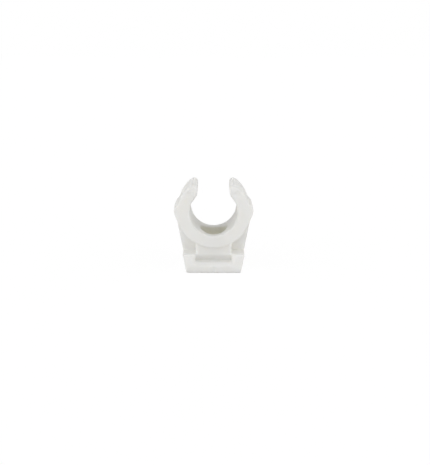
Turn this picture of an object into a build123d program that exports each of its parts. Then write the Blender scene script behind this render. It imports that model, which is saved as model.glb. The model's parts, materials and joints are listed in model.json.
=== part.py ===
from build123d import *
import math
import os

os.makedirs("parts", exist_ok=True)

# Open snap-in clip for one pipe, moulded in one piece.
# X runs across the clip, Y along the pipe, Z up from the wall that the base is screwed to.
# The origin is the middle of the base's underside, and all sizes are in millimetres.

# Pipe and seat
pipe_diameter = 15.0
seat_clearance = 0.2  # radial room between the pipe and the seat
seat_height = 20.4  # pipe axis above the wall
seat_lead_in = 0.15  # bevel at both ends of the seat

# Ring and lips
clip_length = 13.5  # along the pipe
ring_wall = 4.05
mouth_width = 10.4  # gap that the pipe is pushed through
lip_shift = 1.0  # sideways shift of each lip's back arc, which thins the lip towards its tip
lip_tip_radius = 1.2
grip_angle = 36.0  # up from the pipe axis to where the lips' flats touch the pipe, in degrees

# Tapered body and its shoulders
base_width = 18.1
shoulder_overhang = 1.2  # from the ring out to a shoulder's corner before it is rounded
shoulder_radius = 2.0
shoulder_slope = 45.0  # fall of the shoulders away from the lips, in degrees
shoulder_skirt = 0.6  # straight side of a shoulder, from its rounding down to its flank
notch_angle = 15.3  # up from the pipe axis to where a shoulder meets the back of a lip, in degrees
notch_radius = 0.6

# Web at mid-length and pillar between the base block and the ring
web_thickness = 2.4
base_height = 6.4  # top of the base block
pillar_width = 11.6
pillar_setback = 1.3  # from each end of the clip to an end of the pillar
pillar_corner = 0.9

# Pocket in each end of the base block
base_pocket_width = 12.0
base_pocket_height = 2.4
base_pocket_depth = 1.6  # at its floor, in from an end of the pillar
base_pocket_roof = 0.4  # from the top of the base block down to the pocket
base_pocket_corner = 0.9
rim_bevel = 1.0  # round the pocket's open end

# Screw fixing
screw_hole_diameter = 4.5
screw_head_diameter = 8.8
screw_head_angle = 90.0
screw_head_sink = 2.0  # the head lies this far below the seat
boss_wall = 2.2

# Small marks
centre_mark_width = 1.2  # groove that shows the screw's centre line on each end of the base
centre_mark_depth = 0.3
centre_mark_height = 2.4
ejector_mark_diameter = 2.2  # round mark of an ejector pin on the front of each lip
ejector_mark_depth = 0.25
ejector_mark_angle = 38.0  # up from the pipe axis, in degrees

# Finish
draft_angle = 1.0  # from the parting plane at mid-length to each end
edge_radius = 0.5

# Sizes that follow from the ones above
pipe_radius = pipe_diameter / 2
seat_radius = pipe_radius + seat_clearance
ring_radius = seat_radius + ring_wall
half_length = clip_length / 2
pillar_end = half_length - pillar_setback
base_pocket_top = base_height - base_pocket_roof
half_mouth = mouth_width / 2
seat_bottom = seat_height - seat_radius
ring_bottom = seat_bottom - ring_wall
ring_middle = ring_bottom + ring_wall / 2  # level inside the ring's wall, under the pipe
above_lips = seat_height + 2 * ring_radius
shoulder_width = 2 * (ring_radius + shoulder_overhang)
lip_back_radius = ring_radius - lip_shift
notch_across = lip_shift + lip_back_radius * math.cos(math.radians(notch_angle))
notch_height = seat_height + lip_back_radius * math.sin(math.radians(notch_angle))
shoulder_fall = math.tan(math.radians(shoulder_slope))  # drop for each millimetre outwards
shoulder_height = notch_height - (shoulder_width / 2 - notch_across) * shoulder_fall
side_lean = math.atan((shoulder_width - base_width) / 2 / shoulder_height)
shoulder_turn = math.radians(90 - shoulder_slope) + side_lean
shoulder_rounding = shoulder_radius * math.tan(shoulder_turn / 2) * math.cos(side_lean)
flank_height = shoulder_height - shoulder_rounding - shoulder_skirt


def symmetric_polygon(right_half):
    """A polygon from the points of its right-hand half, listed from the bottom up."""
    left_half = [(-across, height) for across, height in reversed(right_half)]
    return Polygon(*right_half, *left_half, align=None)


def drafted(outline):
    """An outline at the parting plane, drawn out to the front end with draft."""
    return Plane.XZ * extrude(outline, half_length, taper=draft_angle)


def body_outline():
    """Body that widens from the base to two rounded shoulders, drawn on below the wall."""
    below_wall = (base_width / 2 - ring_wall * math.tan(side_lean), -ring_wall)
    corner = (shoulder_width / 2, shoulder_height)
    inwards = ring_wall / 2
    inside_lip = (notch_across - inwards, notch_height + inwards * shoulder_fall)
    body = symmetric_polygon([below_wall, corner, inside_lip])
    shoulders = body.vertices().group_by(Axis.Y)[1]
    return fillet(shoulders, shoulder_radius)


def outer_form():
    """Body, shoulders and backs of the lips, flat underneath and with no seat yet."""
    lip_backs = SlotOverall(2 * ring_radius, 2 * lip_back_radius)
    form = drafted(body_outline()) + drafted(Pos(0, seat_height) * lip_backs)
    long_edges = [edge for edge in form.edges() if edge.bounding_box().size.Y > half_length / 2]
    outside = ShapeList(edge for edge in long_edges if abs(edge.center().X) > seat_radius)
    notches = outside.sort_by(Axis.Z)[-2:]
    return split(fillet(notches, notch_radius), Plane.XY, keep=Keep.TOP)


def pipe_way():
    """Seat, grip flats and mouth: everything that stays clear for the pipe."""
    touch = math.radians(grip_angle)
    start = touch - math.acos(pipe_radius / seat_radius)
    flat_start = (seat_radius * math.cos(start), seat_height + seat_radius * math.sin(start))
    lip_rise = (pipe_radius - half_mouth * math.cos(touch)) / math.sin(touch)
    lip_corner = (half_mouth, seat_height + lip_rise)
    mouth = symmetric_polygon([flat_start, lip_corner, (half_mouth, above_lips)])
    below_flats = Rectangle(2 * ring_radius, 2 * ring_radius, align=(Align.CENTER, Align.MAX))
    seat = Pos(0, seat_height) * Circle(seat_radius) & Pos(0, flat_start[1]) * below_flats
    return seat + mouth


def lead_in():
    """Cone that bevels the front end of the seat, drawn out past both edges of the bevel."""
    widest = seat_radius + 2 * seat_lead_in
    narrowest = seat_radius - seat_lead_in
    cone = Cone(widest, narrowest, widest - narrowest, align=(Align.CENTER, Align.CENTER, Align.MIN))
    return Pos(0, -half_length - seat_lead_in, seat_height) * Rot(-90, 0, 0) * cone


def flank():
    """Top and foot of the right-hand flank, which runs in from under the shoulder to touch the ring."""
    top = Vector(base_width / 2 + flank_height * math.tan(side_lean), flank_height)
    pipe_axis = Vector(0, seat_height)
    reach = top - pipe_axis
    turn = math.atan2(reach.Y, reach.X) - math.acos(ring_radius / reach.length)
    foot = pipe_axis + Vector(math.cos(turn), math.sin(turn)) * ring_radius
    return top, foot


def window():
    """Open space from side to side, over the base block and under the ring and its flanks."""
    top, foot = flank()
    beyond = shoulder_width
    right_side = [(beyond, base_height), (beyond, top.Y), (top.X, top.Y), (foot.X, foot.Y)]
    left_side = [(-across, height) for across, height in reversed(right_side)]
    under_ring = ThreePointArc(right_side[-1], (0, ring_bottom), left_side[0])
    return make_face([Polyline(*left_side, *right_side), under_ring])


def pocket_outline():
    """Front view of the low pocket in the base block, under the pillar."""
    size = (base_pocket_width, base_pocket_height)
    outline = Pos(0, base_pocket_top) * Rectangle(*size, align=(Align.CENTER, Align.MAX))
    return fillet(outline.vertices(), base_pocket_corner)


def pocket_room():
    """Room of the front base pocket, with a back that ramps in from its top down to its floor."""
    floor = base_pocket_top - base_pocket_height
    back = pillar_end - base_pocket_depth
    roof = [(-pillar_end, base_pocket_top), (-half_length, base_pocket_top)]
    foot = [(-half_length, floor), (-back, floor)]
    ramp = Plane.YZ * extrude(Polygon(*roof, *foot, align=None), base_pocket_width, both=True)
    return Plane.XZ.offset(back) * extrude(pocket_outline(), half_length) & ramp


def end_opening():
    """What is open at an end of the clip, where the base pocket runs up into the window."""
    size = (base_pocket_width, base_pocket_roof + base_pocket_height / 2)
    square_top = Pos(0, base_height) * Rectangle(*size, align=(Align.CENTER, Align.MAX))
    return window() + pocket_outline() + square_top


def outer_edges(front_face):
    """The edges of the front end that don't bound the seat or its grip flats."""
    pipe_axis = Vector(0, -half_length, seat_height)
    return [edge for edge in front_face.edges() if (edge.center() - pipe_axis).length > seat_radius]


def pocketed(half):
    """The front half with its window and base pocket cut out and the rim of that pocket bevelled."""
    shallow_room = Plane.XZ.offset(pillar_end) * extrude(end_opening(), half_length)
    opened = half - shallow_room
    front_rims = new_edges(half, shallow_room, combined=opened).group_by(Axis.Y)[0]
    pocket_rims = [edge for edge in front_rims if edge.center().Z < base_height - base_pocket_roof / 2]
    window_room = Plane.XZ.offset(web_thickness / 2) * extrude(window(), half_length)
    return chamfer(pocket_rims, rim_bevel) - [window_room, pocket_room()]


def front_half():
    """The moulding from the parting plane to its front end."""
    half = outer_form() - Plane.XZ * extrude(pipe_way(), half_length)
    tips = half.edges().sort_by(Axis.Z)[-2:]
    half = fillet(tips, lip_tip_radius)
    front_face = half.faces().sort_by(Axis.Y)[0]
    half = fillet(outer_edges(front_face), edge_radius) - lead_in()
    return pocketed(half)


def pillar():
    """Post with rounded corners from the base block up into the ring."""
    foot = base_height - base_pocket_roof / 2
    size = (pillar_width, 2 * pillar_end, ring_middle - foot)
    post = Pos(0, 0, foot) * Box(*size, align=(Align.CENTER, Align.CENTER, Align.MIN))
    return fillet(post.edges().filter_by(Axis.Z), pillar_corner)


def screw_boss():
    """Round post round the screw, from the base's underside up into the ring's wall."""
    boss_radius = screw_hole_diameter / 2 + boss_wall
    return Cylinder(boss_radius, ring_middle, align=(Align.CENTER, Align.CENTER, Align.MIN))


def screw_hole():
    """Through hole, countersink and head recess, open to the seat."""
    hole_radius = screw_hole_diameter / 2
    head_radius = screw_head_diameter / 2
    cone_top = seat_bottom - screw_head_sink
    cone_bottom = cone_top - (head_radius - hole_radius) / math.tan(math.radians(screw_head_angle / 2))
    bore = [(0, -hole_radius), (hole_radius, -hole_radius), (hole_radius, cone_bottom)]
    head = [(head_radius, cone_top), (head_radius, seat_height), (0, seat_height)]
    return revolve(Plane.XZ * Polygon(*bore, *head, align=None), Axis.Z)


def centre_mark():
    """Upright groove at the foot of the front end, in line with the screw."""
    mouth = centre_mark_width / 2
    groove = Polygon((-mouth, 0), (mouth, 0), (0, centre_mark_depth), align=None)
    return Pos(0, -half_length) * extrude(groove, centre_mark_height)


def ejector_mark(side):
    """Shallow round mark in the middle of the wall on the front of one lip."""
    reach = (pipe_radius + ring_radius) / 2
    angle = math.radians(ejector_mark_angle)
    place = Pos(side * reach * math.cos(angle), -half_length, seat_height + reach * math.sin(angle))
    return place * Rot(90, 0, 0) * Cylinder(ejector_mark_diameter / 2, 2 * ejector_mark_depth)


half = front_half()
clip = half + mirror(half, Plane.XZ) + pillar() + screw_boss() - screw_hole()
mark = centre_mark()
clip -= [mark, mirror(mark, Plane.XZ), ejector_mark(-1), ejector_mark(1)]
export_step(clip, "parts/pipe_clip.step")
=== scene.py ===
import json
import math

import bpy
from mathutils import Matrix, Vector


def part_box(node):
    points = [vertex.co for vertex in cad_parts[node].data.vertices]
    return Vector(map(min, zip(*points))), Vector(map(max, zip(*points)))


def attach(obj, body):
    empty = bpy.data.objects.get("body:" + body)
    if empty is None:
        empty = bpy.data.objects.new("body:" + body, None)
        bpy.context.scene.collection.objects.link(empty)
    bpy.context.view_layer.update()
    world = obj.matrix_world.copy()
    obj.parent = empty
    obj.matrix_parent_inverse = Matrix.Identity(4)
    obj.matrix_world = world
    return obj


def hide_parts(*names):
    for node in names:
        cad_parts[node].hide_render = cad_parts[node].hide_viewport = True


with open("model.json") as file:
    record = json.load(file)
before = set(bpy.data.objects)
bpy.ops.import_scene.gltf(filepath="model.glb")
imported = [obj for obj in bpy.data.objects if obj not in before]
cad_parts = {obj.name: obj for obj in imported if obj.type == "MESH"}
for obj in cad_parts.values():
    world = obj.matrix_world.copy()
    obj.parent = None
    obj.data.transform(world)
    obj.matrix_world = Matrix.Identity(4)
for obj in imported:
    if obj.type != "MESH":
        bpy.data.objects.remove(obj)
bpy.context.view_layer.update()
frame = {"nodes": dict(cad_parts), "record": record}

# Lengths are in metres.
MM = 0.001

# Places on the clip, from the frame
mounts = {mount["name"]: mount for mount in frame["record"]["mounts"]}
seat = mounts["pipe_seat"]
PIPE_AXIS_HEIGHT = seat["pos_m"][2]
SEAT_RADIUS = seat["dims"]["r_mm"] * MM
hole = mounts["screw_hole"]
HOLE_TOP = hole["pos_m"][2] + hole["dims"]["length_mm"] / 2 * MM
RECESS_RADIUS = 2 * hole["dims"]["r_mm"] * MM  # twice the hole takes in the recess for the screw's head

# Photograph's frame and the camera that took it, as fitted to the clip's outline
FRAME_WIDTH_PX = 430
FRAME_HEIGHT_PX = 465
FOCAL_LENGTH_PX = 628.7
OPTICAL_AXIS_PX = (213.59, 225.0)
CAMERA_DISTANCE = 207.7 * MM
CAMERA_ELEVATION = math.radians(15.92)
CAMERA_NEAR_LIMIT = 1.0 * MM
AIM_HEIGHT = 14.52 * MM
SENSOR_MM = 36.0

# Mesh of the moulding
MESH_STEP = 0.2 * MM
SOFTENING_PASSES = 10
SOFTENING_PER_PASS = 0.5

# Body of the plastic: half of the light goes in, wanders about and comes out again
TRANSLUCENT_SHARE = 0.5
WANDER_LENGTH = 9.0 * MM
WANDER_BY_COLOUR = (1.0, 0.95, 0.85)
REFRACTIVE_INDEX = 1.49

# Skin of the plastic: its gloss, clouds in the tint, grain, parting line, and painted shade in the screw
# recess
GLOSS = 0.12
ROUGHNESS_RANGE = (0.5, 0.62)
MOTTLE_SIZE = 5.0 * MM
MOTTLE_OCTAVES = 3.0
MOTTLE_OCTAVE_WEIGHT = 0.55
MOTTLE_RANGE = (0.3, 0.7)
GRAIN_SIZE = 0.25 * MM
GRAIN_OCTAVES = 2.0
GRAIN_OCTAVE_WEIGHT = 0.5
GRAIN_DEPTH = 0.004 * MM
PARTING_LINE_WIDTH = 0.15 * MM
PARTING_LINE_RELIEF = 0.03 * MM
# the recess's shade is painted into the colour, fading in over this depth
PAINTED_SHADE_DEPTH = 0.6 * MM  # from the seat down to where the recess has its full shade

# Colours, in linear light
MILKY = (0.79, 0.783, 0.75, 1)
WHITER = (0.8, 0.794, 0.775, 1)
# painted shade: a darker olive colour put into the screw recess where shade falls
PAINTED_RECESS_SHADE = (0.73, 0.72, 0.64, 1)
FLOOR_GREY = (0.85, 0.85, 0.85, 1)
WHITE = (1, 1, 1, 1)

# Soft boxes round the clip: the way to each, how sharply it is aimed, and its strength
SOFT_BOXES = {
    "left": ((-2, -1, 0), 2, 1.15),
    "right": ((2, -1, 0), 2, 1.7),
    "upper_left": ((-2, -1, 1), 2, 0.95),
    "upper_right": ((1, 0, 1), 3, 0.55),
    "behind": ((0, 1, 0), 40, 9.0),
}

# Floor: the share of its look that is plain white, and how bright that white is
FLOOR_SIZE = 8.0
FLOOR_WHITE_SHARE = 0.88
FLOOR_WHITE_STRENGTH = 1.05


# Making of node trees

def feed(tree, socket, value):
    """Links an input to another node's output, or sets it to a plain value."""
    if isinstance(value, bpy.types.NodeSocket):
        tree.links.new(value, socket)
    else:
        socket.default_value = value


def add_node(tree, kind, **inputs):
    """A new shader node with its inputs fed by name, with underscores for spaces."""
    node = tree.nodes.new("ShaderNode" + kind)
    for name, value in inputs.items():
        feed(tree, node.inputs[name.replace("_", " ")], value)
    return node


def empty_tree(holder):
    """The node tree of a new material or world, with nothing in it."""
    holder.use_nodes = True
    holder.node_tree.nodes.clear()
    return holder.node_tree


def calculate(tree, operation, *values, kind="Math"):
    """The number that a maths node gives for outputs and plain values."""
    node = add_node(tree, kind)
    node.operation = operation
    for socket, value in zip(node.inputs, values):
        feed(tree, socket, value)
    return node.outputs["Value"]


def product(tree, first, *others):
    """All the values multiplied together."""
    result = first
    for other in others:
        result = calculate(tree, "MULTIPLY", result, other)
    return result


def distance(tree, first, second):
    """Distance from an axis, from the two coordinates across it."""
    squares = [product(tree, at, at) for at in (first, second)]
    return calculate(tree, "SQRT", calculate(tree, "ADD", *squares))


def coordinates(tree):
    """The place on the object, whole and as its three coordinates."""
    place = add_node(tree, "TexCoord").outputs["Object"]
    return place, add_node(tree, "SeparateXYZ", Vector=place).outputs


def spread(tree, value, start, end, first, last):
    """A value that goes from first to last while the given one goes from start to end."""
    node = add_node(
        tree, "MapRange", Value=value, From_Min=start, From_Max=end, To_Min=first, To_Max=last
    )
    return node.outputs["Result"]


def noise(tree, place, size, octaves, octave_weight):
    """Smooth noise of that size, with finer octaves that each weigh less than the last."""
    node = add_node(
        tree, "TexNoise", Vector=place, Scale=1 / size, Detail=octaves, Roughness=octave_weight
    )
    return node.outputs["Fac"]


def blend(tree, share, first, last):
    """A colour between two colours."""
    node = add_node(tree, "Mix", Factor=share)
    node.data_type = "RGBA"
    colour_sockets = [socket for socket in node.inputs if socket.type == "RGBA"]
    for socket, colour in zip(colour_sockets, (first, last)):
        feed(tree, socket, colour)
    return next(socket for socket in node.outputs if socket.type == "RGBA")


def mix_shaders(tree, share, first, last):
    """A shader between two shaders."""
    node = add_node(tree, "MixShader", Fac=share)
    shader_sockets = [socket for socket in node.inputs if socket.type == "SHADER"]
    for socket, shader in zip(shader_sockets, (first, last)):
        feed(tree, socket, shader)
    return node.outputs["Shader"]


# Material of the clip

def mottled_tint(tree, place):
    """Milky white that clouds a little from spot to spot."""
    clouds = noise(tree, place, MOTTLE_SIZE, MOTTLE_OCTAVES, MOTTLE_OCTAVE_WEIGHT)
    return blend(tree, spread(tree, clouds, *MOTTLE_RANGE, 0, 1), MILKY, WHITER)


def painted_shade_share(tree, across, along, up):
    """Where shade is painted: 1 in the screw recess, from under the seat down to the hole's top, and 0
    elsewhere.
    """
    inside = calculate(tree, "LESS_THAN", distance(tree, across, along), RECESS_RADIUS)
    above_hole = calculate(tree, "GREATER_THAN", up, HOLE_TOP)
    from_pipe_axis = distance(tree, across, calculate(tree, "SUBTRACT", up, PIPE_AXIS_HEIGHT))
    under_seat = spread(tree, from_pipe_axis, SEAT_RADIUS, SEAT_RADIUS + PAINTED_SHADE_DEPTH, 0, 1)
    return product(tree, inside, above_hole, under_seat)


def surface_relief(tree, grain, along):
    """Normal bumped by the true height of the grain and of the parting line at mid-length."""
    from_middle = calculate(tree, "ABSOLUTE", along)
    line = spread(tree, from_middle, 0, PARTING_LINE_WIDTH / 2, PARTING_LINE_RELIEF, 0)
    height = calculate(tree, "MULTIPLY_ADD", grain, GRAIN_DEPTH, line)
    return add_node(tree, "Bump", Height=height, Strength=1.0, Distance=1.0).outputs["Normal"]


def natural_plastic():
    """Natural polypropylene: milky, translucent off-white with a satin skin."""
    material = bpy.data.materials.new("natural_plastic")
    tree = empty_tree(material)
    place, (across, along, up) = coordinates(tree)
    grain = noise(tree, place, GRAIN_SIZE, GRAIN_OCTAVES, GRAIN_OCTAVE_WEIGHT)
    shader = add_node(
        tree,
        "BsdfPrincipled",
        # the screw recess is coloured with painted shade, darker and olive
        Base_Color=blend(tree, painted_shade_share(tree, across, along, up), mottled_tint(tree, place), PAINTED_RECESS_SHADE),
        Subsurface_Weight=TRANSLUCENT_SHARE,
        Subsurface_Scale=WANDER_LENGTH,
        Subsurface_Radius=WANDER_BY_COLOUR,
        IOR=REFRACTIVE_INDEX,
        Specular_IOR_Level=GLOSS,
        Roughness=spread(tree, grain, 0, 1, *ROUGHNESS_RANGE),
        Normal=surface_relief(tree, grain, along),
    )
    add_node(tree, "OutputMaterial", Surface=shader.outputs["BSDF"])
    return material


# Mesh of the clip

def soften(piece):
    """Gives a piece a finer, even mesh with softened edges."""
    even = piece.modifiers.new("even_mesh", "REMESH")
    even.mode = "VOXEL"
    even.voxel_size = MESH_STEP
    even.use_smooth_shade = True
    soft = piece.modifiers.new("soft_edges", "SMOOTH")
    soft.factor = SOFTENING_PER_PASS
    soft.iterations = SOFTENING_PASSES
    softened = piece.evaluated_get(bpy.context.evaluated_depsgraph_get())
    piece.data = bpy.data.meshes.new_from_object(softened)
    piece.modifiers.clear()


def keep_inside(mesh, lowest, highest):
    """Brings any point of a mesh that lies outside a box back to the box's side."""
    for vertex in mesh.vertices:
        vertex.co = [min(max(at, low), high) for at, low, high in zip(vertex.co, lowest, highest)]


def soft_moulding(node, material):
    """The moulding with its crisp edges softened, inside its own box."""
    piece = bpy.data.objects.new("clip_moulding", node.data.copy())
    bpy.context.scene.collection.objects.link(piece)
    soften(piece)
    keep_inside(piece.data, *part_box(node.name))
    piece.data.materials.clear()
    piece.data.materials.append(material)
    return piece


# Floor, light and camera

def seen_directly(tree):
    """1 for rays that come from the camera, a reflection or a clear part, and 0 for light."""
    path = add_node(tree, "LightPath").outputs
    mirrored = calculate(tree, "MAXIMUM", path["Is Glossy Ray"], path["Is Transmission Ray"])
    return calculate(tree, "MAXIMUM", path["Is Camera Ray"], mirrored)


def clear_of_hole(tree):
    """0 on the floor under the screw hole and close round it, and 1 elsewhere."""
    _, (across, along, _) = coordinates(tree)
    return calculate(tree, "GREATER_THAN", distance(tree, across, along), RECESS_RADIUS)


def floor_white():
    """White that shows the clip's faint shadow, with plain paint under the screw hole to keep it dark."""
    material = bpy.data.materials.new("floor_white")
    tree = empty_tree(material)
    paint = add_node(tree, "BsdfDiffuse", Color=FLOOR_GREY)
    white = add_node(tree, "Emission", Color=WHITE, Strength=FLOOR_WHITE_STRENGTH)
    white_share = product(tree, seen_directly(tree), clear_of_hole(tree), FLOOR_WHITE_SHARE)
    look = mix_shaders(tree, white_share, paint.outputs["BSDF"], white.outputs["Emission"])
    add_node(tree, "OutputMaterial", Surface=look)
    return material


def floor():
    """Plain floor under the clip."""
    reach = FLOOR_SIZE / 2
    corners = [(-reach, -reach, 0), (reach, -reach, 0), (reach, reach, 0), (-reach, reach, 0)]
    mesh = bpy.data.meshes.new("floor")
    mesh.from_pydata(corners, [], [(0, 1, 2, 3)])
    mesh.materials.append(floor_white())
    plane = bpy.data.objects.new("floor", mesh)
    bpy.context.scene.collection.objects.link(plane)


def soft_box_light(tree):
    """Strength of the light from each direction, as the sum of all soft boxes."""
    outwards = add_node(tree, "TexCoord").outputs["Generated"]
    total = 0.0
    for way, sharpness, strength in SOFT_BOXES.values():
        aim = Vector(way).normalized()
        facing = calculate(tree, "DOT_PRODUCT", outwards, aim, kind="VectorMath")
        spot = calculate(tree, "POWER", calculate(tree, "MAXIMUM", facing, 0.0), sharpness)
        total = calculate(tree, "MULTIPLY_ADD", spot, strength, total)
    return total


def studio_world():
    """Soft boxes that light the clip in front of plain white."""
    world = bpy.data.worlds.new("studio")
    bpy.context.scene.world = world
    tree = empty_tree(world)
    light = add_node(tree, "Background", Color=WHITE, Strength=soft_box_light(tree))
    white = add_node(tree, "Background", Color=WHITE, Strength=1.0)
    shaders = [node.outputs["Background"] for node in (light, white)]
    look = mix_shaders(tree, seen_directly(tree), *shaders)
    add_node(tree, "OutputWorld", Surface=look)


def photo_camera():
    """The photograph's camera, in front of the clip and a little above it."""
    data = bpy.data.cameras.new("camera")
    data.sensor_width = SENSOR_MM
    long_side = max(FRAME_WIDTH_PX, FRAME_HEIGHT_PX)
    data.lens = SENSOR_MM * FOCAL_LENGTH_PX / long_side
    data.shift_x = (FRAME_WIDTH_PX / 2 - OPTICAL_AXIS_PX[0]) / long_side
    data.shift_y = (OPTICAL_AXIS_PX[1] - FRAME_HEIGHT_PX / 2) / long_side
    data.clip_start = CAMERA_NEAR_LIMIT
    camera = bpy.data.objects.new("camera", data)
    back = Vector((0, -math.cos(CAMERA_ELEVATION), math.sin(CAMERA_ELEVATION)))
    camera.location = Vector((0, 0, AIM_HEIGHT)) + CAMERA_DISTANCE * back
    camera.rotation_euler = (-back).to_track_quat("-Z", "Y").to_euler()
    bpy.context.scene.collection.objects.link(camera)
    bpy.context.scene.camera = camera


# The clip in its studio

clip = soft_moulding(frame["nodes"]["pipe_clip"], natural_plastic())
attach(clip, "root")
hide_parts("pipe_clip")

floor()
studio_world()
photo_camera()
bpy.context.scene.view_settings.view_transform = "Standard"
